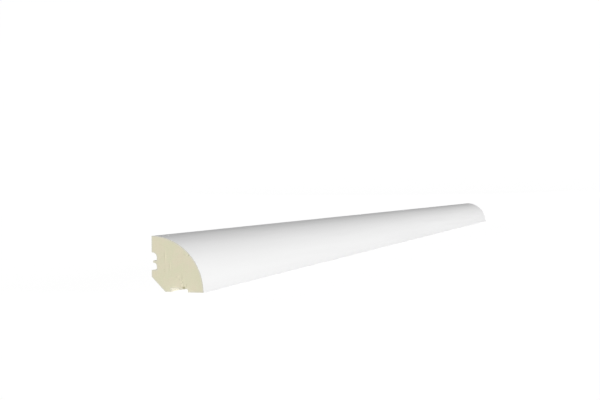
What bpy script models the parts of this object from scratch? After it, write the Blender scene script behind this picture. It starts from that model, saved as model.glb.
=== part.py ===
"""Quarter round moulding: a fibreboard bar with a quarter circle face under a thin white foil.

Metres, +Z up. The bar lies on its base along X. The back, which goes against a wall, faces +Y,
and the round face looks up and towards -Y. The origin is under the middle of the bar, in the
plane of the base.

The section is drawn in its own plane from the back lower corner, which is the centre of the
quarter circle: u runs from the back towards the front, v from the base upwards.
"""

import math

import bmesh
import bpy

# Overall sizes
LENGTH = 0.700
SECTION = 0.017

# The foil and the glue under it
FOIL_THICKNESS = 0.00015
GLUE_LINE = 0.0001

# The flat lands of the back and of the base, each measured along its own side
HEEL_CHAMFER = 0.0045
OUTER_LAND = 0.0051
BACK_INNER_LAND = 0.0022
BASE_INNER_LAND = 0.0019

# The relief grooves: two notches with a thin rib between them that stops short of the lands
RIB_THICKNESS = 0.0007
BACK_RIB_HEIGHT = 0.0012
BACK_RIB_SETBACK = 0.0005
BACK_NOTCH_RADIUS = 0.0015
BASE_RIB_HEIGHT = 0.0004
BASE_RIB_SETBACK = 0.0007
BASE_NOTCH_RADIUS = 0.0004

# A notch's round takes at most this share of the notch's floor
LARGEST_ROUND = 0.9

# How finely the round stretches are faceted
FACE_STEPS = 60
NOTCH_STEPS = 5

WELD_DISTANCE = 0.000001
SHARP_ANGLE = math.radians(30)

# Linear colours
FIBREBOARD_COLOUR = (0.73, 0.67, 0.48, 1.0)
FOIL_COLOUR = (0.88, 0.88, 0.88, 1.0)


def clear_scene():
    """Remove every object of the startup scene."""
    for thing in list(bpy.data.objects):
        bpy.data.objects.remove(thing, do_unlink=True)


def plain_material(name, colour, roughness):
    """A Principled material of one colour, without metal."""
    material = bpy.data.materials.new(name)
    material.use_nodes = True
    shader = material.node_tree.nodes["Principled BSDF"]
    shader.inputs["Base Color"].default_value = colour
    shader.inputs["Roughness"].default_value = roughness
    shader.inputs["Metallic"].default_value = 0.0
    material.diffuse_color = colour
    return material


def arc(centre, radius, start, end, steps):
    """Points along an arc about centre, from the start angle to the end angle, both included."""
    turn = (end - start) / steps
    angles = [start + turn * step for step in range(steps + 1)]
    return [
        (centre[0] + radius * math.cos(angle), centre[1] + radius * math.sin(angle))
        for angle in angles
    ]


def notch_shoulder(end, depth, foot, radius):
    """The rounded outer side of a notch, from its floor at depth back down to the level foot.

    Points are (distance along the flat, distance into the bar). The round is a quarter circle
    tangent to the floor and to the side at end, and it stops where it meets the level foot.
    """
    centre = (end - radius, depth - radius)
    lowest = math.asin(max(0.0, foot - centre[1]) / radius)
    points = arc(centre, radius, math.pi / 2, lowest, NOTCH_STEPS)
    if centre[1] > foot:
        points.append((end, foot))
    return points


def side_profile(inner_land, rib_height, rib_setback, notch_radius):
    """One flat side of the section, from the chamfer at the heel to the end of the groove.

    Points are (distance along the flat from the heel, distance into the bar). Both sides of the
    section share this profile. The groove fills what the chamfer and the two lands leave free,
    and its depth is the rib's height and how far the rib stops short of the lands.
    """
    depth = rib_height + rib_setback
    groove_start = HEEL_CHAMFER + inner_land
    groove_end = SECTION - OUTER_LAND
    notch_width = (groove_end - groove_start - RIB_THICKNESS) / 2
    rib_start = groove_start + notch_width
    rib_end = rib_start + RIB_THICKNESS
    radius = min(notch_radius, depth, LARGEST_ROUND * notch_width)
    points = [(HEEL_CHAMFER, 0.0), (groove_start, 0.0), (groove_start, depth)]
    points += notch_shoulder(rib_start, depth, rib_setback, radius)
    points += [(rib_end, rib_setback), (rib_end, depth)]
    points += notch_shoulder(groove_end, depth, 0.0, radius)
    return points


def core_outline():
    """The fibreboard's section, anticlockwise: base, round face, back, chamfer at the heel."""
    radius = SECTION - FOIL_THICKNESS - GLUE_LINE
    base = side_profile(
        BASE_INNER_LAND, BASE_RIB_HEIGHT, BASE_RIB_SETBACK, BASE_NOTCH_RADIUS
    )
    back = side_profile(
        BACK_INNER_LAND, BACK_RIB_HEIGHT, BACK_RIB_SETBACK, BACK_NOTCH_RADIUS
    )
    face = arc((0.0, 0.0), radius, 0.0, math.pi / 2, FACE_STEPS)
    return base + face + [(into, along) for along, into in reversed(back)]


def foil_outline():
    """The foil's section: a quarter ring of one thickness, from the base to the back."""
    inner = SECTION - FOIL_THICKNESS
    outside = arc((0.0, 0.0), SECTION, 0.0, math.pi / 2, FACE_STEPS)
    inside = arc((0.0, 0.0), inner, math.pi / 2, 0.0, FACE_STEPS)
    return outside + inside


def extruded_curve(name, outline, length):
    """A filled 2D curve through the outline, half its length on each side of its own plane."""
    data = bpy.data.curves.new(name, "CURVE")
    data.dimensions = "2D"
    data.fill_mode = "BOTH"
    data.extrude = length / 2
    spline = data.splines.new("POLY")
    spline.points.add(len(outline) - 1)
    for point, (u, v) in zip(spline.points, outline):
        point.co = (u, v, 0.0, 1.0)
    spline.use_cyclic_u = True
    return bpy.data.objects.new(name, data)


def bar_from(name, outline, material, collection, parent):
    """One bar of the moulding: the outline carried along the length, as a welded mesh."""
    guide = extruded_curve(name + "_outline", outline, LENGTH)
    collection.objects.link(guide)
    bpy.context.view_layer.update()
    graph = bpy.context.evaluated_depsgraph_get()
    mesh = bpy.data.meshes.new_from_object(guide.evaluated_get(graph))
    bpy.data.objects.remove(guide, do_unlink=True)

    shape = bmesh.new()
    shape.from_mesh(mesh)
    bmesh.ops.remove_doubles(shape, verts=shape.verts, dist=WELD_DISTANCE)
    bmesh.ops.recalc_face_normals(shape, faces=shape.faces)
    shape.to_mesh(mesh)
    shape.free()

    mesh.name = name
    mesh.materials.clear()
    mesh.materials.append(material)
    mesh.shade_smooth()
    mesh.set_sharp_from_angle(angle=SHARP_ANGLE)
    bar = bpy.data.objects.new(name, mesh)
    bar.parent = parent
    collection.objects.link(bar)
    return bar


def section_frame(collection):
    """An empty on the back lower corner, turned so that u runs to -Y, v to +Z and extrusion to X."""
    corner = bpy.data.objects.new("back_lower_corner", None)
    corner.empty_display_size = SECTION
    corner.location = (0.0, SECTION / 2, 0.0)
    corner.rotation_euler = (math.pi / 2, 0.0, -math.pi / 2)
    collection.objects.link(corner)
    return corner


def build():
    clear_scene()
    collection = bpy.data.collections.new("quarter_round_moulding")
    bpy.context.scene.collection.children.link(collection)
    corner = section_frame(collection)

    fibreboard = plain_material("fibreboard", FIBREBOARD_COLOUR, 0.85)
    foil = plain_material("white_foil", FOIL_COLOUR, 0.4)
    bar_from("mdf_core", core_outline(), fibreboard, collection, corner)
    bar_from("face_foil", foil_outline(), foil, collection, corner)


build()
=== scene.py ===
# %% [markdown]
# # Quarter round moulding: white foil on fibreboard
# A quarter round is the slim bar that hides the gap between a floor and a wall. This one is milled
# from fibreboard, and a thin white foil is wrapped round its curved side. A maker handles two
# things, the raw bar and the foil, so this lesson makes two pieces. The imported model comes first:
# it is the fixed frame, and every surface made here is fitted to it and never the other way round.

# %% Load the frame
import math

import bpy
import numpy as np
from mathutils import Matrix, Vector
from mathutils.geometry import delaunay_2d_cdt


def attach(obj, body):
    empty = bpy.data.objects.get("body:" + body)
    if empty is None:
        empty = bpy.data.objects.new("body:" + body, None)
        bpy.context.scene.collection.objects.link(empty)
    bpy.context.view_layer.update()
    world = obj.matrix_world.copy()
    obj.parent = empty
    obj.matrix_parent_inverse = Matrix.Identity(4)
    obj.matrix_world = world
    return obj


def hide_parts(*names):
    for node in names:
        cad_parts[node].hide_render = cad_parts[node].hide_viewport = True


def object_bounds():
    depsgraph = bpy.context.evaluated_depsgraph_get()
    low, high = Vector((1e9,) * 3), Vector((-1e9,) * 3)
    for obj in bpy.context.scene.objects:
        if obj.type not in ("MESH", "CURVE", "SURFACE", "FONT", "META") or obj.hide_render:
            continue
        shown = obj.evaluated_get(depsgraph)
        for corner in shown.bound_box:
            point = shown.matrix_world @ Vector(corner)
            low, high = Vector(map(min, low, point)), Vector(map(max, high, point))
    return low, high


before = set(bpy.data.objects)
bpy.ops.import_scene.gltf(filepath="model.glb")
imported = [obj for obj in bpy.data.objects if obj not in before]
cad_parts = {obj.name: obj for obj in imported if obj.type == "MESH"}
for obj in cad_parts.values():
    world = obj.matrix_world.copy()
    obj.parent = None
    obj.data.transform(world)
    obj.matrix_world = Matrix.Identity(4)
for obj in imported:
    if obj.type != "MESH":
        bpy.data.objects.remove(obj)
cad_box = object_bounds()
print("nodes:", sorted(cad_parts))

# %% [markdown]
# ## The sizes
# Mouldings are drawn in millimetres, so this script works in millimetres, and turns them to
# Blender's metres as late as it can. The length and the section come from the frame. The section
# is drawn on its own two axes, from the back lower corner: u runs from the wall towards the room,
# and v runs up from the floor. That corner is the centre of the quarter circle, which keeps the
# formulas short. The two flat sides share one plan, and each has its own sizes: the land next to
# the heel, the height of the rib, how far the rib stops short of the flat, how far it stands off
# the middle of its groove, the round of the notches, and how much shallower the outer notch is.

# %% Sizes in millimetres
MM = 0.001
LENGTH = (cad_box[1].x - cad_box[0].x) / MM
SECTION = (cad_box[1].z - cad_box[0].z) / MM
BACK = cad_box[1].y / MM
MIDDLE = (cad_box[1].x + cad_box[0].x) / 2 / MM

FOIL_THICKNESS = 0.10
GLUE_GAP = 0.01
CORE_RADIUS = SECTION - FOIL_THICKNESS - GLUE_GAP

HEEL_CHAMFER = 4.5
OUTER_LAND = 5.1
RIB_THICKNESS = 0.7
BACK_SIDE = {
    "inner_land": 2.2,
    "rib_height": 1.2,
    "rib_setback": 0.5,
    "rib_shift": -0.18,
    "round": 1.5,
    "shallower": 0.0,
}
BASE_SIDE = {
    "inner_land": 1.9,
    "rib_height": 0.4,
    "rib_setback": 0.7,
    "rib_shift": 0.20,
    "round": 0.4,
    "shallower": 0.16,
}


def placed(x, u, v):
    """Points in the frame, in metres, from millimetres along the bar, off the back and up."""
    return np.stack([x + MIDDLE, BACK - u, v], axis=-1) * MM


print(f"bar: {LENGTH:.1f} mm long, section {SECTION:.1f} mm")

# %% [markdown]
# ## The camera
# The photograph looks along the bar from just in front of its cut end, with the camera low beside
# it. Its place and its angles were found by matching the crest, the foot line, the cut end and the
# far end, so the camera is written here as a place, three angles and a focal length in pixels of a
# 600 pixel wide picture. A camera's matrix has its right, up and backward directions as columns.

# %% Camera
PHOTO_WIDTH = 600
FOCAL_PIXELS = 1036.4
SENSOR_MM = 36.0
CAMERA_AT = Vector((-0.6389, -0.1272, 0.0311))
CAMERA_YAW = math.radians(16.993)
CAMERA_PITCH = math.radians(-0.606)
CAMERA_ROLL = math.radians(-0.202)
NEAR_CLIP = 0.01


def add_camera():
    """A camera that looks along +X turned by the yaw towards +Y and by the pitch up."""
    level = math.cos(CAMERA_PITCH)
    ahead = Vector(
        (math.cos(CAMERA_YAW) * level, math.sin(CAMERA_YAW) * level, math.sin(CAMERA_PITCH))
    )
    flat_right = Vector((math.sin(CAMERA_YAW), -math.cos(CAMERA_YAW), 0.0))
    flat_up = flat_right.cross(ahead)
    right = math.cos(CAMERA_ROLL) * flat_right + math.sin(CAMERA_ROLL) * flat_up
    up = math.cos(CAMERA_ROLL) * flat_up - math.sin(CAMERA_ROLL) * flat_right
    lens = bpy.data.cameras.new("camera")
    lens.sensor_width = SENSOR_MM
    lens.lens = FOCAL_PIXELS / PHOTO_WIDTH * SENSOR_MM
    lens.clip_start = NEAR_CLIP
    camera = bpy.data.objects.new("camera", lens)
    camera.matrix_world = (
        Matrix.Translation(CAMERA_AT) @ Matrix((right, up, -ahead)).transposed().to_4x4()
    )
    bpy.context.scene.collection.objects.link(camera)
    bpy.context.scene.camera = camera
    return camera


camera = add_camera()
print(f"lens: {camera.data.lens:.2f} mm")

# %% [markdown]
# ## A random surface that is the same each run
# Sawn and milled board is never quite flat. A sum of sine waves with random directions and phases
# is a smooth random height that is worked out for a whole array at once. The generator has a fixed
# seed, so the bar has the same marks each time the script runs.

# %% Seeded waves
def waves(x, y, size_x, size_y, seed, count=24):
    """Smooth random heights, about -1 to 1, at the points (x, y).

    The height is a sum of sine waves. Each has a random direction, a length near size_x along x
    and near size_y along y, and a random phase.
    """
    draw = np.random.default_rng(seed)
    along_x = draw.normal(0.0, 1.0, count) * 2 * math.pi / size_x
    along_y = draw.normal(0.0, 1.0, count) * 2 * math.pi / size_y
    phase = draw.uniform(0.0, 2 * math.pi, count)
    x, y = np.broadcast_arrays(x, y)
    angle = x[..., None] * along_x + y[..., None] * along_y + phase
    return np.sin(angle).sum(axis=-1) / math.sqrt(count)


print("waves at the origin:", waves(0.0, 0.0, 1.0, 1.0, seed=1).round(3))

# %% [markdown]
# ## The section of the fibreboard bar
# The moulder cuts the same two features into both flat sides: a heel taken off at 45 degrees, so
# that the bar sits past a rough corner, and a shallow relief groove, so that it touches the wall
# and the floor on narrow lands. Inside each groove stands a thin rib. Both sides follow the same
# plan, so one function gives the corner points of either side from a few sizes.

# %% Where a groove and its rib lie
def groove_span(side):
    """Where a side's groove starts and ends, from the heel corner: what chamfer and lands leave."""
    return HEEL_CHAMFER + side["inner_land"], SECTION - OUTER_LAND


def groove_depth(side):
    """How deep a side's groove is: the rib's height and how far the rib stops short of the flat."""
    return side["rib_height"] + side["rib_setback"]


def rib_middle(side):
    """How far from the heel corner a side's rib stands: the groove's middle and a small shift."""
    start, end = groove_span(side)
    return (start + end) / 2 + side["rib_shift"]


print("ribs, mm from the heel corner:", [round(rib_middle(s), 2) for s in (BACK_SIDE, BASE_SIDE)])

# %% Corners of the section
EDGE_ROUND = 0.12
TIP_ROUND = 0.06
HEEL_ROUND = 0.35
WALL_DRAFT = 0.09


def side_corners(side):
    """Corners of one flat side, from the heel to the outer land, and the radius of each.

    A point is its distance along the side and its depth into the bar. The groove is a notch on
    each side of the rib, and the outer one may be a little shallower. The wall next to the heel
    leans outwards by the draft times the depth, so that the cutter comes free.
    """
    start, end = groove_span(side)
    depth = groove_depth(side)
    outer_depth = depth - side["shallower"]
    rib_start = rib_middle(side) - RIB_THICKNESS / 2
    rib_end = rib_start + RIB_THICKNESS
    tip = side["rib_setback"]
    flank_round = min(side["round"], side["rib_height"] - 2 * EDGE_ROUND)
    outer_round = min(side["round"], outer_depth - 2 * EDGE_ROUND)
    rows = [
        (HEEL_CHAMFER, 0.0, HEEL_ROUND),
        (start - WALL_DRAFT * depth, 0.0, EDGE_ROUND),
        (start, depth, EDGE_ROUND),
        (rib_start, depth, flank_round),
        (rib_start, tip, TIP_ROUND),
        (rib_end, tip, TIP_ROUND),
        (rib_end, outer_depth, EDGE_ROUND),
        (end, outer_depth, outer_round),
        (end, 0.0, EDGE_ROUND),
    ]
    return np.array(rows)


back_rows = side_corners(BACK_SIDE)[::-1][:, [1, 0, 2]]
base_rows = side_corners(BASE_SIDE)
crest = (0.0, CORE_RADIUS, 0.0)
foot = (CORE_RADIUS, 0.0, 0.0)
corner_rows = np.vstack([crest, back_rows, base_rows, foot])
print("corners from the crest round the back and base to the foot:", len(corner_rows))

# %% [markdown]
# ### Round the corners
# No cutter leaves a truly sharp edge in fibreboard, and a rounded edge catches a thin line of
# light. A Bevel modifier could do this on the finished mesh. The outline is still a list of points
# here, though, so the arcs are worked out for all corners at once, each with its own radius. A
# wide round gets more points than a tiny one, so that both look smooth from the same distance.

# %% Arcs at the corners
ROUND_ERROR = 0.006


def counted(lengths):
    """For runs of these lengths end to end: the run of each entry, and its place in its run."""
    owner = np.repeat(np.arange(len(lengths)), lengths)
    return owner, np.arange(len(owner)) - np.repeat(np.cumsum(lengths) - lengths, lengths)


def rounded(corners, radii):
    """An open outline whose inner corners are arcs.

    Half the angle at a corner is h. The arc of radius r touches both sides r / tan(h) from the
    corner, and its centre lies r / sin(h) along the bisector. Points on the arc are a blend of its
    two end points about the centre, with weights sin((1 - t) turn) and sin(t turn) over sin(turn).
    A chord over the angle a lies r (1 - cos(a / 2)) inside the arc, which sets how many there are.
    """
    corner = corners[1:-1]
    to_last = corners[:-2] - corner
    to_next = corners[2:] - corner
    to_last /= np.linalg.norm(to_last, axis=1, keepdims=True)
    to_next /= np.linalg.norm(to_next, axis=1, keepdims=True)
    half = np.arccos(np.clip((to_last * to_next).sum(axis=1), -1.0, 1.0))[:, None] / 2
    radius = radii[1:-1, None]
    bisector = to_last + to_next
    bisector /= np.linalg.norm(bisector, axis=1, keepdims=True)
    centre = corner + bisector * radius / np.sin(half)
    first = corner + to_last * radius / np.tan(half) - centre
    last = corner + to_next * radius / np.tan(half) - centre
    turn = math.pi - 2 * half
    chords = np.ceil(turn / (2 * np.arccos(1.0 - ROUND_ERROR / radius))).astype(int)
    owner, place = counted(chords[:, 0] + 1)
    share = place[:, None] / chords[owner]
    turn = turn[owner]
    arc = np.sin((1 - share) * turn) * first[owner] + np.sin(share * turn) * last[owner]
    return np.vstack([corners[:1], centre[owner] + arc / np.sin(turn), corners[-1:]])


flat_sides = rounded(corner_rows[:, :2], corner_rows[:, 2])
print("points along the flat sides:", len(flat_sides))

# %% [markdown]
# The round side closes the outline: it is the quarter circle from the foot back to the crest. The
# long straight stretches are then cut into shorter pieces, so that the surface has points to move
# when it is roughened.

# %% The closed outline
FACE_STEPS = 60
OUTLINE_SPACING = 0.55


def with_spacing(points, spacing):
    """A closed outline whose segments are cut into equal pieces no longer than spacing."""
    step = np.roll(points, -1, axis=0) - points
    pieces = np.ceil(np.linalg.norm(step, axis=1) / spacing).astype(int)
    owner, place = counted(pieces)
    return points[owner] + step[owner] * (place / pieces[owner])[:, None]


face_turn = np.linspace(0.0, math.pi / 2, FACE_STEPS + 1)[1:-1]
face_arc = CORE_RADIUS * np.stack([np.cos(face_turn), np.sin(face_turn)], axis=1)
core_outline = with_spacing(np.vstack([flat_sides, face_arc]), OUTLINE_SPACING)
print("points in the outline:", len(core_outline))

# %% [markdown]
# ## Stations along the bar
# The outline is carried along the bar through a row of stations. They stand close together at the
# two saw cuts, where an eye or a camera comes near, and open out towards the middle by a constant
# ratio, which saves faces where the bar is plain.

# %% Stations
END_STEP = 0.10
MIDDLE_STEP = 2.3
GROWING_STEPS = 40


def stations():
    """Places along the bar: steps grow by a constant ratio from each end, then stay even."""
    growing = np.cumsum(np.geomspace(END_STEP, MIDDLE_STEP, GROWING_STEPS))
    half = LENGTH / 2
    even_length = LENGTH - 2 * growing[-1]
    even = np.linspace(0.0, even_length, math.ceil(even_length / MIDDLE_STEP) + 1)
    left = np.concatenate([[0.0], growing[:-1]]) - half
    return np.concatenate([left, growing[-1] - half + even, -left[::-1]])


bar_stations = stations()
print("stations:", len(bar_stations))

# %% [markdown]
# ## Milled faces
# Small things make a milled board look milled: its faces wander by about a hundredth of a
# millimetre, the tips of its thin ribs crumble, the edges that the saw cuts are slightly broken,
# and at the near end a tuft of torn fibre hangs into the base groove. Noise in a material could
# only hint at this, so the points of the mesh are moved. Two helpers say which way a point moves
# and whether it is on a rib.

# %% Which way, and on which rib
RIB_FADE = 0.4


def outward_normals(outline):
    """The outward direction at each point: the chord between its neighbours, turned clockwise."""
    chord = np.roll(outline, -1, axis=0) - np.roll(outline, 1, axis=0)
    chord /= np.linalg.norm(chord, axis=1, keepdims=True)
    return np.stack([chord[:, 1], -chord[:, 0]], axis=1)


def share_of_rib(along, depth, side):
    """How far up the rib a point is: 0 on the deeper notch's floor, 1 on the tip, 0 off the rib.

    It fades to 0 beside the rib over the share RIB_FADE of the rib's thickness.
    """
    off_rib = np.abs(along - rib_middle(side))
    near = np.clip((RIB_THICKNESS - off_rib) / (RIB_FADE * RIB_THICKNESS), 0.0, 1.0)
    return near * np.clip((groove_depth(side) - depth) / side["rib_height"], 0.0, 1.0)


back_tip = share_of_rib(rib_middle(BACK_SIDE), BACK_SIDE["rib_setback"], BACK_SIDE)
print("share of the rib at the tip of the back one:", round(float(back_tip), 3))

# %% [markdown]
# ### Move the points
# The surface is a grid with two parameters, the place along the bar and the point of the outline.
# Every kind of wear is a height over the two, and they are added up as whole arrays. The finish of
# the faces comes later, in the materials.

# %% Rough bar
# Lengths are in millimetres, and a size in brackets is along the bar and round the outline
WANDER = 0.006
WANDER_SIZE = (9.0, 2.0)
RIB_CRUMBLE = 0.14
CRUMBLE_SIZE = 3.5
CRUMBLE_OFFSET = 0.4
BASE_CRUMBLE = 0.6
WHOLE_END = 6.0
ARRIS = 0.012
ARRIS_UNEVEN = 0.6
LEAST_ARRIS = 0.01
ARRIS_LENGTH = 0.12
ARRIS_SIZE = (0.7, 1.2)
TUFT_AT = 10.35
TUFT_HALF_WIDTH = 0.40
TUFT_DROP = 0.14
TUFT_REACH = 0.5
BASE_FLOOR = (0.5, 1.5)
RUN_STEP = 0.4
ARC_MARGIN = 0.05


def core_surface(x, outline):
    """Points of the bar on the grid of stations by outline points, as u and v arrays.

    Each point that isn't under the foil moves inwards, by the wander of the faces and by the arris
    near the saw cuts. Both are waves over the place along the bar and the run round the outline,
    where one point counts as one RUN_STEP. A point of a rib also moves into the bar by its share
    of the rib times how far the tip crumbled, which grows from nothing at the saw cuts, where the
    photograph shows the rib whole. A point on the floor of the base groove hangs down by the tuft,
    a bell along u that fades along the bar.
    """
    u, v = outline.T
    normal = outward_normals(outline)
    run = np.arange(len(outline)) * RUN_STEP
    distance = np.minimum(x - x[0], x[-1] - x)[:, None]
    under_foil = (np.hypot(u, v) > CORE_RADIUS - ARC_MARGIN) & (np.minimum(u, v) > ARC_MARGIN)
    wander = WANDER * (waves(x[:, None], run, *WANDER_SIZE, seed=11) - 1.0).clip(-2.0, 0.0)
    cut_edge = ARRIS * (1.0 + ARRIS_UNEVEN * waves(x[:, None], run, *ARRIS_SIZE, seed=12))
    arris = cut_edge.clip(LEAST_ARRIS, None) * np.exp(-distance / ARRIS_LENGTH)
    inward = np.where(under_foil, 0.0, arris - wander)
    lost = (CRUMBLE_OFFSET + waves(x, 0.0, CRUMBLE_SIZE, 1.0, seed=13)).clip(0.0, None)
    crumble = RIB_CRUMBLE * lost[:, None] * (distance / WHOLE_END).clip(0.0, 1.0)
    back_rib = crumble * share_of_rib(v, u, BACK_SIDE)
    base_rib = BASE_CRUMBLE * crumble * share_of_rib(u, v, BASE_SIDE)
    bell = np.exp(-(((u - TUFT_AT) / TUFT_HALF_WIDTH) ** 2))
    on_floor = (v > BASE_FLOOR[0]) & (v < BASE_FLOOR[1])
    tuft = TUFT_DROP * on_floor * bell * np.exp(-(x - x[0])[:, None] / TUFT_REACH)
    u_grid = u - inward * normal[:, 0] + back_rib
    v_grid = v - inward * normal[:, 1] + base_rib - tuft
    return u_grid.clip(0.0, None), v_grid.clip(0.0, None)


core_u, core_v = core_surface(bar_stations, core_outline)
print("grid of the bar:", core_u.shape)

# %% [markdown]
# ## Sawn ends
# A saw leaves upright strokes across the board. It tears a few fibres out where the board is thin
# and lifts a few tufts of pale fibre. The end is a height over u and v. The marks that show most in
# the photograph are listed, each as an oval bell with a centre and two half sizes. A torn
# place has a depth, and a lifted tuft has a depth below zero.

# %% Marks of the near end
MARKS = np.array([
    # u, v, half width, half height and depth
    (10.58, 1.36, 0.46, 0.34, 0.25),
    (9.15, 1.10, 0.18, 0.20, 0.08),
    (11.42, 2.00, 0.14, 0.60, 0.06),
    (11.00, 2.10, 0.14, 0.40, -0.06),
    (10.60, 2.20, 0.20, 0.28, 0.07),
    (9.98, 2.15, 0.20, 0.28, -0.09),
    (9.45, 1.85, 0.14, 0.25, 0.09),
    (10.13, 3.05, 0.14, 0.24, 0.09),
    (10.16, 3.56, 0.14, 0.16, -0.08),
    (9.78, 3.05, 0.14, 0.24, -0.09),
    (9.78, 2.62, 0.14, 0.14, 0.08),
    (10.16, 2.62, 0.14, 0.14, -0.08),
    (9.76, 3.60, 0.13, 0.18, 0.06),
    (9.98, 4.35, 0.13, 0.65, 0.07),
    (9.10, 3.80, 0.14, 0.30, 0.06),
    (9.00, 4.75, 0.20, 0.28, -0.06),
    (8.15, 4.65, 0.24, 0.25, 0.04),
    (8.20, 3.80, 0.26, 0.22, -0.04),
    (6.20, 7.90, 0.14, 1.00, -0.06),
    (5.88, 7.90, 0.13, 0.95, 0.05),
    (4.70, 10.65, 0.16, 1.40, -0.06),
    (4.25, 10.60, 0.14, 1.20, 0.05),
    (4.20, 6.80, 0.20, 0.14, 0.05),
    (5.15, 6.65, 0.20, 0.18, -0.05),
    (4.25, 6.15, 0.16, 0.12, 0.05),
    (2.30, 7.80, 0.26, 0.14, 0.05),
    (2.45, 8.30, 0.22, 0.18, -0.05),
    (7.60, 1.50, 0.80, 0.30, -0.04),
    (12.12, 11.20, 0.17, 0.17, 0.17),
    (11.72, 11.25, 0.16, 0.16, -0.13),
    (10.80, 11.35, 0.40, 0.26, 0.03),
])


def marked(u, v, marks):
    """How deep the marks are, in mm: the sum of the bells, less than 0 where fibre lifts."""
    across = (u[..., None] - marks[:, 0]) / marks[:, 2]
    up = (v[..., None] - marks[:, 1]) / marks[:, 3]
    return (marks[:, 4] * np.exp(-(across**2) - up**2)).sum(axis=-1)


print("deepest mark in mm:", marked(MARKS[:, 0], MARKS[:, 1], MARKS).max().round(2))

# %% Height of a sawn end
# Lengths are in millimetres, and a size in brackets is along u and along v
STROKE_DEPTH = 0.008
STROKE_SIZE = (0.8, 14.0)
STROKE_BEND = 0.004
FUZZ_DEPTH = 0.006
FUZZ_SIZE = (0.5, 0.5)


def sawn_height(u, v, marks, seed):
    """How deep the end lies below its plane: upright strokes, fibre fuzz and marks.

    The strokes bend with the square of the height, as the teeth of a round blade leave them.
    """
    bent_u = u + STROKE_BEND * (v - SECTION / 2) ** 2
    strokes = STROKE_DEPTH * (1.0 + waves(bent_u, v, *STROKE_SIZE, seed))
    fuzz = FUZZ_DEPTH * (1.0 + waves(u, v, *FUZZ_SIZE, seed + 1))
    return (strokes + fuzz + marked(u, v, marks)).clip(0.0, None)


sample_depth = sawn_height(np.array(SECTION / 3), np.array(SECTION / 3), MARKS, seed=21)
print("depth of the cut a third of the way across and up, in mm:", round(float(sample_depth), 3))

# %% [markdown]
# ### Fill the ends
# The end can't be a plain grid, because its edge follows the grooves. A triangular lattice fills
# the section instead, and Blender's constrained Delaunay routine joins the lattice to the outline.
# A lattice point is kept where a line from it crosses the outline an odd number of times and where
# the outline is not too near.

# %% Inside or outside
def inside_and_clear(points, outline):
    """Whether each point is inside a closed outline, and its distance to the outline.

    A point is inside where a level line from it crosses an odd number of segments. Its distance
    is the least to any segment: to the foot of the perpendicular, kept between the segment's ends.
    """
    start = outline
    step = np.roll(outline, -1, axis=0) - start
    away = points[:, None] - start
    share = np.clip((away * step).sum(-1) / (step * step).sum(-1), 0.0, 1.0)
    distance = np.linalg.norm(away - share[..., None] * step, axis=-1).min(axis=1)
    over = away[..., 1] >= 0.0
    over_end = away[..., 1] >= step[:, 1]
    safe_rise = np.where(step[:, 1] == 0.0, 1.0, step[:, 1])
    crossing_u = away[..., 1] / safe_rise * step[:, 0]
    crosses = (over != over_end) & (away[..., 0] < crossing_u)
    return crosses.sum(axis=1) % 2 == 1, distance


near_edge = np.stack([core_u[0], core_v[0]], axis=1)
heel_inside, heel_distance = inside_and_clear(np.array([[1.0, 1.0]]), near_edge)
print("the heel is inside:", bool(heel_inside[0]), "and", heel_distance[0].round(2), "mm away")

# %% Fill the outline
END_PITCH = 0.14
EDGE_CLEARANCE = 0.6 * END_PITCH
SAME_POINT = 1e-6
# The routine's number for a result with triangles inside the outline alone
INSIDE_ONLY = 1


def lattice(pitch):
    """A triangular lattice over the section: every other row is shifted by half a pitch."""
    across = np.arange(0.0, SECTION, pitch)
    rows = np.arange(0.0, SECTION, pitch * math.sqrt(3) / 2)
    u, v = np.meshgrid(across, rows)
    u[1::2] += pitch / 2
    return np.stack([u.ravel(), v.ravel()], axis=1)


def filled(outline):
    """Points and triangles that fill a closed outline, with the outline's points first."""
    grid = lattice(END_PITCH)
    inside, distance = inside_and_clear(grid, outline)
    points = np.vstack([outline, grid[inside & (distance > EDGE_CLEARANCE)]])
    ring = np.arange(len(outline))
    edges = np.stack([ring, np.roll(ring, -1)], axis=1).tolist()
    made = delaunay_2d_cdt(points.tolist(), edges, [], INSIDE_ONLY, SAME_POINT)
    return np.array(made[0]), np.array(made[2])


end_points, end_triangles = filled(near_edge)
print("sawn end:", len(end_points), "points,", len(end_triangles), "triangles")

# %% [markdown]
# ## From arrays to a mesh
# A swept grid becomes four-sided faces that join station to station and run round the outline.
# Blender takes the whole arrays with foreach_set, which is much faster than adding vertices one by
# one. The order of a face's corners decides which way it points, and here it is out of the bar.

# %% Faces of a swept grid
def tube_faces(station_count, ring_count):
    """Faces between neighbouring rings, closed round the ring, facing outwards."""
    here = np.arange(station_count - 1)[:, None] * ring_count
    there = here + ring_count
    point = np.arange(ring_count)[None, :]
    after = (point + 1) % ring_count
    corners = np.stack([here + point, there + point, there + after, here + after], axis=-1)
    return corners.reshape(-1, 4)


print("faces between two stations:", len(tube_faces(2, len(core_outline))))

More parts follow.
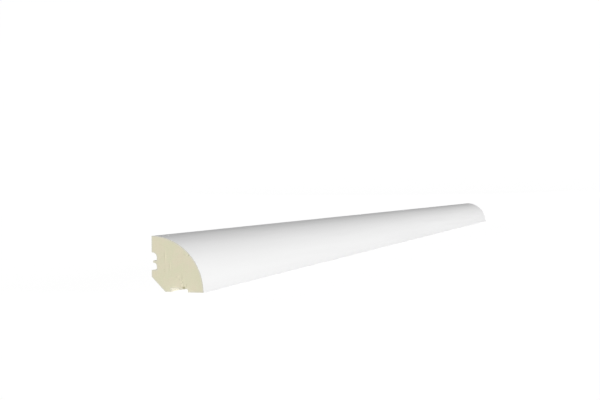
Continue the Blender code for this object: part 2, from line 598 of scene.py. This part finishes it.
# %% Mesh and attributes
def mesh_from(name, points, faces, materials, numbers, sharp_angle):
    """A piece from an array of points and arrays of faces, one array for each material number.

    An edge whose faces turn by more than the sharp angle stays sharp, and the rest is smooth.
    """
    corners = np.concatenate([block.ravel() for block in faces])
    sizes = np.concatenate([np.full(len(block), block.shape[1]) for block in faces])
    mesh = bpy.data.meshes.new(name)
    mesh.vertices.add(len(points))
    mesh.vertices.foreach_set("co", points.astype(np.float32).ravel())
    mesh.loops.add(len(corners))
    mesh.loops.foreach_set("vertex_index", corners.astype(np.int32))
    mesh.polygons.add(len(sizes))
    mesh.polygons.foreach_set("loop_start", (np.cumsum(sizes) - sizes).astype(np.int32))
    of_block = np.repeat(numbers, [len(block) for block in faces])
    mesh.polygons.foreach_set("material_index", of_block.astype(np.int32))
    for material in materials:
        mesh.materials.append(material)
    mesh.update(calc_edges=True)
    mesh.validate()
    mesh.shade_smooth()
    mesh.set_sharp_from_angle(angle=sharp_angle)
    piece = bpy.data.objects.new(name, mesh)
    bpy.context.scene.collection.objects.link(piece)
    print(name, len(mesh.vertices), "points", int((sizes - 2).sum()), "triangles")
    return piece


def give(piece, name, values):
    """Store one number for each point, for the material to read."""
    attribute = piece.data.attributes.new(name, "FLOAT", "POINT")
    attribute.data.foreach_set("value", np.asarray(values, np.float32))


# %% [markdown]
# ## Colours and nodes
# Colours are picked as the hex values that a screen shows, but a shader works with linear light,
# so one function converts them. One more function adds a shader node: it sets the node's options
# and then fills each input with a value or with another node's output.

# %% Linear colour
def linear(hex_colour):
    """Linear red, green, blue and alpha from an sRGB hex value such as #DBD3B4."""
    parts = [int(hex_colour[i:i + 2], 16) / 255 for i in (1, 3, 5)]
    light = [p / 12.92 if p <= 0.04045 else ((p + 0.055) / 1.055) ** 2.4 for p in parts]
    return (*light, 1.0)


print("the middle grey #808080 in linear light:", round(linear("#808080")[0], 3))

# %% Materials and nodes
def add(tree, kind, inputs=(), **options):
    """A new node. options are its settings, and inputs are (socket, value or output) pairs."""
    node = tree.nodes.new(kind)
    for name, value in options.items():
        setattr(node, name, value)
    for socket, value in inputs:
        if isinstance(value, bpy.types.NodeSocket):
            tree.links.new(value, node.inputs[socket])
        else:
            node.inputs[socket].default_value = value
    return node


def blank(name):
    """A material with its node tree and its shader."""
    material = bpy.data.materials.new(name)
    material.use_nodes = True
    tree = material.node_tree
    return material, tree, tree.nodes["Principled BSDF"]


# %% [markdown]
# ### Patterns
# The finishes below are built from the same few steps: noise, stretched to a share, mixes one
# colour into another, or is a height. Noise is drawn in millimetres: a Mapping node divides the
# object's coordinates by the size of a feature.

# %% Noise, shares, mixes and relief
# A Mix node has sockets for numbers, vectors and colours. These are its colours in and out
MIX_COLOURS = (6, 7)
MIX_RESULT = 2


def pattern(tree, size, detail=2.0, roughness=0.5, bend=0.0):
    """Noise from 0 to 1 whose features measure size, a length in mm along X, Y and Z.

    bend pushes the noise's own place about, so that long features curl instead of lining up.
    """
    place = add(tree, "ShaderNodeTexCoord").outputs["Object"]
    scale = tuple(1.0 / (length * MM) for length in size)
    mapped = add(tree, "ShaderNodeMapping", [("Vector", place), ("Scale", scale)])
    noise = [("Vector", mapped.outputs[0]), ("Scale", 1.0), ("Detail", detail)]
    noise += [("Roughness", roughness), ("Distortion", bend)]
    return add(tree, "ShaderNodeTexNoise", noise).outputs[0]


def between(tree, value, low, high, to_low=0.0, to_high=1.0):
    """A value stretched from the range low to high onto the range to_low to to_high, clamped."""
    ends = [(0, value), (1, low), (2, high), (3, to_low), (4, to_high)]
    return add(tree, "ShaderNodeMapRange", ends).outputs[0]


def tinted(tree, share, colour, other):
    """One colour mixed towards another by share."""
    first, second = MIX_COLOURS
    inputs = [(0, share), (first, colour), (second, other)]
    return add(tree, "ShaderNodeMix", inputs, data_type="RGBA").outputs[MIX_RESULT]


def relief(tree, shader, heights):
    """Bump from heights, each a (height 0 to 1, depth in mm) pair, chained into the shader."""
    normal = None
    for height, depth in heights:
        inputs = [("Height", height), ("Distance", depth * MM), ("Strength", 1.0)]
        if normal is not None:
            inputs.append(("Normal", normal))
        normal = add(tree, "ShaderNodeBump", inputs).outputs[0]
    tree.links.new(normal, shader.inputs["Normal"])


# %% [markdown]
# ## Sawn fibreboard
# Medium density fibreboard is wood fibre and resin, hot pressed. A fresh saw cut shows it pale
# cream and dull, like felt: very even, with small flecks, short curled fibres that are darker or
# lighter than the rest, a soft warm and green mottle where the resin varied, and faint upright
# strokes. It has almost no gloss, so its roughness is near 1. The attribute "mark" darkens torn
# pits with painted shade, for the light lost between loose fibres, and lightens lifted tufts. The
# attribute "rim" greys the skin that the cutters pressed.

# %% Material of the sawn end
FIBRE_IOR = 1.5
SAWN_ROUGHNESS = 0.95
CUT_CREAM = "#E0DBC1"
CUT_WARM = "#E4DAC3"
CUT_GREEN = "#DCDCBE"
EVEN_SHARE = 0.6
FIBRE_SHADOW = "#CBC5A4"
PRESSED_SKIN = "#DAD8CB"
# The colour of the painted shade in torn pits
PIT_SHADE = "#8D8B62"
LIFTED_FIBRE = "#F6F0D2"
SKIN_WIDTH = 0.55
PIT_SHADE_DEPTH = 0.25
LIFTED_HEIGHT = 0.1


def sawn_fibreboard():
    """The dull cream of a saw cut through pressed wood fibre.

    Each colour is laid over the last, and two values of a pattern are stretched to two shares of
    the new colour.
    """
    # Real fibres are a few hundredths of a millimetre thick, so they are drawn coarser to show
    material, tree, shader = blank("sawn_fibreboard")
    mottle = pattern(tree, (4.0, 3.0, 3.0), detail=2.0)
    flecks = pattern(tree, (0.2, 0.16, 0.2), detail=3.0, roughness=0.6)
    fibres = pattern(tree, (0.3, 0.5, 0.16), detail=2.0, roughness=0.6, bend=1.6)
    strokes = pattern(tree, (3.0, 0.28, 7.0), detail=2.0)
    cream = tinted(tree, between(tree, mottle, 0.4, 0.6), linear(CUT_GREEN), linear(CUT_WARM))
    cream = tinted(tree, EVEN_SHARE, cream, linear(CUT_CREAM))
    cream = tinted(tree, between(tree, flecks, 0.5, 0.75, 0.0, 0.35), cream, linear(FIBRE_SHADOW))
    cream = tinted(tree, between(tree, fibres, 0.58, 0.75, 0.0, 0.4), cream, linear(FIBRE_SHADOW))
    cream = tinted(tree, between(tree, fibres, 0.42, 0.25, 0.0, 0.35), cream, linear(LIFTED_FIBRE))
    cream = tinted(tree, between(tree, strokes, 0.55, 0.8, 0.0, 0.12), cream, linear(FIBRE_SHADOW))
    rim = add(tree, "ShaderNodeAttribute", attribute_name="rim").outputs["Fac"]
    skin = between(tree, rim, 0.0, SKIN_WIDTH, 0.75, 0.0)
    cream = tinted(tree, skin, cream, linear(PRESSED_SKIN))
    mark = add(tree, "ShaderNodeAttribute", attribute_name="mark").outputs["Fac"]
    # Painted shade: torn pits are darkened by their depth, as if in shadow
    painted_pit_shade = between(tree, mark, 0.0, PIT_SHADE_DEPTH, 0.0, 0.85)
    cream = tinted(tree, painted_pit_shade, cream, linear(PIT_SHADE))
    lifted = between(tree, mark, 0.0, -LIFTED_HEIGHT, 0.0, 0.7)
    cream = tinted(tree, lifted, cream, linear(LIFTED_FIBRE))
    tree.links.new(cream, shader.inputs["Base Color"])
    shader.inputs["Roughness"].default_value = SAWN_ROUGHNESS
    shader.inputs["IOR"].default_value = FIBRE_IOR
    relief(tree, shader, [(strokes, 0.008), (flecks, 0.012), (fibres, 0.008)])
    return material


sawn = sawn_fibreboard()
print(sawn.name, "has", len(sawn.node_tree.nodes), "nodes")

# %% [markdown]
# ## Milled fibreboard
# The moulder's cutters run along the bar and press the fibres flat, so the long faces are slightly
# darker and smoother than the saw cut. They carry fine lines along the bar, and a faint regular
# ripple across it with one wave for each pass of a knife. The grooves are painted paler, partly as
# pale dust and partly as painted light, most of it in the base groove, and the attribute "dust"
# says how much.

# %% Material of the milled faces
MILLED_CREAM = "#DDD5B8"
MILLED_LINE = "#C4BA96"
# The pale colour of the grooves: dust and painted light
GROOVE_DUST_AND_LIGHT = "#F1EEE2"
MILLED_ROUGHNESS = 0.8
KNIFE_PITCH = 1.8


def milled_fibreboard():
    """The slightly burnished long faces, with lines along them and the ripple of the knives."""
    # The lines are drawn a fifth of a millimetre apart, coarser than the real ones, to show
    material, tree, shader = blank("milled_fibreboard")
    lines = pattern(tree, (26.0, 0.2, 0.2), detail=3.0, roughness=0.6)
    flecks = pattern(tree, (0.8, 0.3, 0.3), detail=3.0, roughness=0.6)
    mottle = pattern(tree, (9.0, 4.0, 4.0))
    place = add(tree, "ShaderNodeTexCoord").outputs["Object"]
    x = add(tree, "ShaderNodeSeparateXYZ", [(0, place)]).outputs[0]
    turns = 2 * math.pi / (KNIFE_PITCH * MM)
    phase = add(tree, "ShaderNodeMath", [(0, x), (1, turns)], operation="MULTIPLY").outputs[0]
    knife = add(tree, "ShaderNodeMath", [(0, phase)], operation="SINE").outputs[0]
    cream = linear(MILLED_CREAM)
    cream = tinted(tree, between(tree, lines, 0.5, 0.8, 0.0, 0.5), cream, linear(MILLED_LINE))
    cream = tinted(tree, between(tree, flecks, 0.55, 0.8, 0.0, 0.4), cream, linear(MILLED_LINE))
    cream = tinted(tree, between(tree, mottle, 0.4, 0.7, 0.0, 0.3), cream, linear(CUT_CREAM))
    # Painted light: the grooves are made paler as if lit, as well as dusty
    dust = add(tree, "ShaderNodeAttribute", attribute_name="dust").outputs["Fac"]
    cream = tinted(tree, between(tree, dust, 0.0, 1.0, 0.0, 0.85), cream, linear(GROOVE_DUST_AND_LIGHT))
    tree.links.new(cream, shader.inputs["Base Color"])
    shader.inputs["Roughness"].default_value = MILLED_ROUGHNESS
    shader.inputs["IOR"].default_value = FIBRE_IOR
    ripple = between(tree, knife, -1.0, 1.0)
    relief(tree, shader, [(ripple, 0.006), (lines, 0.012), (flecks, 0.012)])
    return material


milled = milled_fibreboard()
print(milled.name, "has", len(milled.node_tree.nodes), "nodes")

# %% [markdown]
# ## White finishing foil
# The foil is a printed and lacquered film about a tenth of a millimetre thick, glued on as the bar
# runs through the wrapping machine. It is neutral white with a satin lacquer. Close up it is not
# quite smooth: the lacquer has a soft orange peel, the board's fibres show through as a finer
# grain, and rollers leave very faint bands along the bar. All of that is relief, two hundredths of
# a millimetre deep at most, because the colour itself is even. The edge that the saw cuts has no
# lacquer, so it is dull, grey and dusted with fibre, and gets a material of its own.

# %% Material of the foil
FOIL_WHITE = "#F1F1F1"
FOIL_EDGE = "#D2CFC6"
LACQUER_IOR = 1.5
FOIL_ROUGHNESS = (0.40, 0.48)
FOIL_EDGE_ROUGHNESS = 0.8


def white_satin_foil():
    """Even white film with satin lacquer, slightly uneven in gloss along the bar."""
    # The grain of the fibres is drawn a third of a millimetre wide, coarser than it is, to show
    material, tree, shader = blank("white_satin_foil")
    peel = pattern(tree, (1.6, 0.9, 0.9), detail=1.0)
    grain = pattern(tree, (0.5, 0.3, 0.3), detail=2.0)
    bands = pattern(tree, (90.0, 1.6, 1.6), detail=2.0)
    shader.inputs["Base Color"].default_value = linear(FOIL_WHITE)
    gloss = between(tree, bands, 0.3, 0.7, *FOIL_ROUGHNESS)
    tree.links.new(gloss, shader.inputs["Roughness"])
    shader.inputs["IOR"].default_value = LACQUER_IOR
    relief(tree, shader, [(bands, 0.018), (peel, 0.020), (grain, 0.006)])
    return material


def sawn_foil_edge():
    """The cut through the foil: a dull grey white, dusted with fibre by the saw."""
    material, tree, shader = blank("sawn_foil_edge")
    dust = pattern(tree, (0.4, 0.4, 0.4), detail=2.0)
    dusted = between(tree, dust, 0.4, 0.7, 0.0, 0.5)
    grey = tinted(tree, dusted, linear(FOIL_EDGE), linear(CUT_CREAM))
    tree.links.new(grey, shader.inputs["Base Color"])
    shader.inputs["Roughness"].default_value = FOIL_EDGE_ROUGHNESS
    shader.inputs["IOR"].default_value = LACQUER_IOR
    return material


foil_white = white_satin_foil()
foil_cut = sawn_foil_edge()
print("materials of the foil:", foil_white.name, "and", foil_cut.name)

# %% [markdown]
# ## The fibreboard bar
# The bar is the swept grid with a sawn end on each side. The far end is the near one mirrored in
# the bar's middle, with other strokes and without the marks that the photograph shows at the near
# end. Each end shares the ring of points of its own station, so the mesh closes without a seam.
# Three numbers are stored for each point, and the materials read them: how much dust and painted
# light lies on it, how far it is from the outline of the sawn end, and how deep it lies in a mark.

# %% Distance to the edge, and dust
# How the dust and painted light grow with depth, and their share in the back groove
DUST_AND_LIGHT_DEPTH = 0.15
BACK_DUST_AND_LIGHT = 0.35
ROUND_MARGIN = 0.5


def distance_to_edge(u, v):
    """How far each point of a sawn end lies from the outline of the bar, in millimetres."""
    _, distance = inside_and_clear(np.stack([u, v], axis=1), core_outline)
    return distance


def groove_dust_and_light(u, v):
    """How pale a point of the milled sides is painted, with dust and painted light, from 0 on a
    land to 1 deep in the base groove.

    The paleness grows with the depth below the nearer flat side, up to DUST_AND_LIGHT_DEPTH, and
    there is none on the heel or near the round side. The back groove has the share
    BACK_DUST_AND_LIGHT of it.
    """
    past_heel = np.maximum(u, v) > HEEL_CHAMFER
    below_round = np.hypot(u, v) < CORE_RADIUS - ROUND_MARGIN
    depth = np.minimum(u, v) * past_heel * below_round
    most = np.where(u < v, BACK_DUST_AND_LIGHT, 1.0)
    return most * np.clip(depth / DUST_AND_LIGHT_DEPTH, 0.0, 1.0)


# Points that get dust and painted light
print("share of dusty points:", (groove_dust_and_light(core_u, core_v) > 0.0).mean().round(2))

# %% Make the bar
SHARP_ANGLE = math.radians(50)


def make_core():
    """The swept grid, the two filled ends and the numbers that the materials read."""
    ring = len(core_outline)
    last = len(bar_stations) - 1
    x_grid = np.broadcast_to(bar_stations[:, None], core_u.shape).copy()
    mark_grid = np.zeros(core_u.shape)
    faces = [tube_faces(last + 1, ring)]
    inner_points = []
    inner_rim = []
    inner_mark = []
    total = x_grid.size
    # Each end has a station, marks, a seed for its strokes, and a way into the bar along x
    for station, marks, seed, way in ((0, MARKS, 21, 1), (last, MARKS[:0], 31, -1)):
        edge_u, edge_v = core_u[station], core_v[station]
        x_grid[station] += way * sawn_height(edge_u, edge_v, marks, seed)
        mark_grid[station] = marked(edge_u, edge_v, marks)
        flat, triangles = filled(np.stack([edge_u, edge_v], axis=1))
        u, v = flat[ring:].T
        x = bar_stations[station] + way * sawn_height(u, v, marks, seed)
        inner_points.append(placed(x, u, v))
        inner_rim.append(distance_to_edge(u, v))
        inner_mark.append(marked(u, v, marks))
        index = np.concatenate([station * ring + np.arange(ring), total + np.arange(len(u))])
        faces.append(index[triangles][:, ::way])
        total += len(u)
    points = np.vstack([placed(x_grid, core_u, core_v).reshape(-1, 3), *inner_points])
    piece = mesh_from("fibreboard_bar", points, faces, [milled, sawn], [0, 1, 1], SHARP_ANGLE)
    inner_count = total - x_grid.size
    # The numbers named dust carry painted light in the grooves as well as dust
    give(piece, "dust", np.append(groove_dust_and_light(core_u, core_v), np.zeros(inner_count)))
    give(piece, "rim", np.concatenate([np.zeros(x_grid.size), *inner_rim]))
    give(piece, "mark", np.concatenate([mark_grid.ravel(), *inner_mark]))
    return piece


bar = make_core()
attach(bar, "root")
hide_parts("mdf_core")

# %% [markdown]
# ## The foil
# The foil is a quarter ring with its own thickness, so its cut edge shows as a thin grey line
# round the sawn end, as on the real bar. It is a closed loop of points, out along the outside of
# the ring and back along the inside, carried through the same stations. Its surface dips by a few
# thousandths of a millimetre, where the glue is thin, and its two long edges are trimmed by a blade
# on the machine, so they wander by a few hundredths.

# %% Surface of the foil
FOIL_STEPS = 90
FOIL_DIP = 0.004
DIP_SIZE = (22.0, 5.0)
TRIM_WANDER = 0.03
TRIM_SIZE = 14.0
FOIL_EASE = 0.03


def foil_surface(x):
    """Points of the foil as u and v grids: a quarter ring of angle and radius at each station.

    The outer radius is the section less the dips. Both edges start a trimmed sliver away from the
    flat sides, and the outer corner there is eased by a smaller radius.
    """
    share = np.linspace(0.0, 1.0, FOIL_STEPS + 1)
    trims = [TRIM_WANDER * np.abs(waves(x, 0.0, TRIM_SIZE, 1.0, seed)) for seed in (41, 42)]
    first, last = (trim[:, None] / SECTION for trim in trims)
    turn = first + (math.pi / 2 - first - last) * share
    dips = 1.0 + waves(x[:, None], turn * SECTION, *DIP_SIZE, seed=43)
    outer = SECTION - FOIL_DIP * dips.clip(0.0, 2.0)
    outer[:, [0, -1]] -= FOIL_EASE
    inner = np.full_like(outer, SECTION - FOIL_THICKNESS)
    radius = np.concatenate([outer, inner[:, ::-1]], axis=1)
    turn = np.concatenate([turn, turn[:, ::-1]], axis=1)
    return radius * np.cos(turn), radius * np.sin(turn)


foil_u, foil_v = foil_surface(bar_stations)
print("grid of the foil:", foil_u.shape)

# %% Make the foil
def ring_end(ring_count):
    """Faces that close the ring at its first station: outer point to inner point, side by side."""
    outer = np.arange(ring_count // 2 - 1)
    inner = ring_count - 1 - outer
    return np.stack([outer, outer + 1, inner - 1, inner], axis=1)


def make_foil():
    """The swept loop and its two closed ends."""
    ring = foil_u.shape[1]
    x = np.broadcast_to(bar_stations[:, None], foil_u.shape)
    near = ring_end(ring)
    far = near[:, ::-1] + (len(bar_stations) - 1) * ring
    faces = [tube_faces(*foil_u.shape), near, far]
    points = placed(x, foil_u, foil_v).reshape(-1, 3)
    materials = [foil_white, foil_cut]
    return mesh_from("finishing_foil", points, faces, materials, [0, 1, 1], SHARP_ANGLE)


foil = make_foil()
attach(foil, "root")
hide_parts("face_foil")

# %% [markdown]
# ## The studio
# The photograph has the plain white ground of a light table and no shadow on it. So the stage is a
# wide bowl that glows white and is seen by the camera alone: it takes no part in the lighting, and
# the lamps shine through it. A flat floor would show a horizon, and the bowl has none.

# %% Surface of the bowl
# The bowl and the lamps around it are large, so their sizes are in metres
FLOOR_RADIUS = 4.0
WALL_RADIUS = 0.8
WALL_TOP = 1.5
STAGE_RINGS = 12
STAGE_SIDES = 96


def stage_surface():
    """A bowl as a grid: a profile along the first parameter, turned round Z by the second.

    The profile is a flat disc, then a quarter circle up, then a straight wall.
    """
    flat = np.linspace(0.0, FLOOR_RADIUS - WALL_RADIUS, STAGE_RINGS)[1:]
    bend = np.linspace(0.0, math.pi / 2, STAGE_RINGS)[1:]
    radius = np.concatenate([flat, flat[-1] + WALL_RADIUS * np.sin(bend), [FLOOR_RADIUS]])
    height = np.concatenate([0 * flat, WALL_RADIUS * (1 - np.cos(bend)), [WALL_TOP]])
    angle = np.linspace(0.0, 2 * math.pi, STAGE_SIDES, endpoint=False)
    x = np.outer(radius, np.cos(angle))
    y = np.outer(radius, np.sin(angle))
    z = np.outer(height, np.ones(STAGE_SIDES))
    return np.stack([x, y, z], axis=-1).reshape(-1, 3), len(radius)


bowl, bowl_rings = stage_surface()
print("bowl:", len(bowl), "points in", bowl_rings, "rings")

# %% Stage
STAGE_GREY = "#595959"
STAGE_GLOW = 0.955
WHITE = (1.0, 1.0, 1.0, 1.0)


def make_stage():
    """The bowl, with a fan of triangles in the middle and its inner side up."""
    points = np.vstack([bowl, [[0.0, 0.0, 0.0]]])
    point = np.arange(STAGE_SIDES)
    middle = np.full(STAGE_SIDES, len(bowl))
    fan = np.stack([middle, point, (point + 1) % STAGE_SIDES], axis=1)
    wall = tube_faces(bowl_rings, STAGE_SIDES)
    material, tree, shader = blank("pale_light_table")
    shader.inputs["Base Color"].default_value = linear(STAGE_GREY)
    shader.inputs["Roughness"].default_value = 1.0
    shader.inputs["Specular IOR Level"].default_value = 0.0
    shader.inputs["Emission Color"].default_value = WHITE
    shader.inputs["Emission Strength"].default_value = STAGE_GLOW
    material.cycles.emission_sampling = "NONE"
    return mesh_from("pale_stage", points, [wall, fan], [material], [0, 0], SHARP_ANGLE)


stage = make_stage()
stage.visible_diffuse = False
stage.visible_glossy = False
stage.visible_shadow = False

# %% [markdown]
# ### The lamps
# The foil is darkest on its crest and lightest at its foot, which asks for a dim even room and one
# large soft lamp that stands low in front. A lamp on the left lights the near saw cut, one on the
# right lights the far one, and one behind lights the back.

# %% Soft lamps
AIM = Vector((0.0, 0.0, 0.01))
LAMPS = {
    # direction from the bar, distance and side in metres, power in watts, whether gloss shows it
    "front_lamp": ((0.14, -0.97, 0.17), 3.4, 1.6, 105.5, True),
    "left_lamp": ((-0.99, -0.10, 0.10), 3.25, 1.6, 69.0, False),
    "right_lamp": ((0.97, 0.24, -0.10), 3.25, 1.6, 50.0, False),
    "back_lamp": ((0.40, 0.90, 0.10), 3.4, 1.6, 80.0, True),
}


def hang(name, light, place, turn):
    """Put a light in its place, where no camera sees it."""
    lamp = bpy.data.objects.new(name, light)
    lamp.location = place
    lamp.rotation_euler = turn
    lamp.visible_camera = False
    bpy.context.scene.collection.objects.link(lamp)
    return lamp


def add_lamp(name, direction, distance, size, power, gloss):
    """One square soft lamp that stands in a direction from the bar and is aimed at it.

    Without gloss it lights a surface but is not mirrored in it: the satin foil would mirror a
    lamp at the bar's end as one long glare.
    """
    way = Vector(direction).normalized()
    light = bpy.data.lights.new(name, "AREA")
    light.shape = "SQUARE"
    light.size = size
    light.energy = power
    lamp = hang(name, light, AIM + way * distance, way.to_track_quat("Z", "Y").to_euler())
    lamp.visible_glossy = gloss
    return lamp


lamps = [add_lamp(name, *settings) for name, settings in LAMPS.items()]
print("lamps:", [lamp.name for lamp in lamps])

# %% [markdown]
# ### Under the bar and all round
# A light table also sends light up into the base groove, which no lamp beside the bar can reach. A
# strip just under the groove stands for that light. The room is an even grey that fills the
# shadows.

# %% Slot lamp and room
# The slot lamp lies this far below the base and reaches this far past the groove, in millimetres
SLOT_DROP = 1.0
SLOT_REACH = 1.5
SLOT_MARGIN = 0.3
SLOT_GLOW = 1.1
ROOM_LIGHT = 0.205


def add_slot_lamp():
    """A lamp just under the base groove, a little wider and longer, that shines up into it.

    The power of a flat lamp is its glow times pi times its area.
    """
    start, end = groove_span(BASE_SIDE)
    light = bpy.data.lights.new("slot_lamp", "AREA")
    light.shape = "RECTANGLE"
    light.size = (LENGTH + 2 * SLOT_REACH) * MM
    light.size_y = (end - start + 2 * SLOT_MARGIN) * MM
    light.energy = SLOT_GLOW * math.pi * light.size * light.size_y
    return hang("slot_lamp", light, placed(0.0, (start + end) / 2, -SLOT_DROP), (math.pi, 0.0, 0.0))


def add_room():
    """An even dim grey room."""
    world = bpy.data.worlds.new("dim_room")
    world.use_nodes = True
    sky = world.node_tree.nodes["Background"]
    sky.inputs["Color"].default_value = WHITE
    sky.inputs["Strength"].default_value = ROOM_LIGHT
    bpy.context.scene.world = world


slot_lamp = add_slot_lamp()
add_room()
bpy.context.scene.view_settings.view_transform = "Standard"
print("power of the slot lamp in watts:", round(slot_lamp.data.energy, 4))
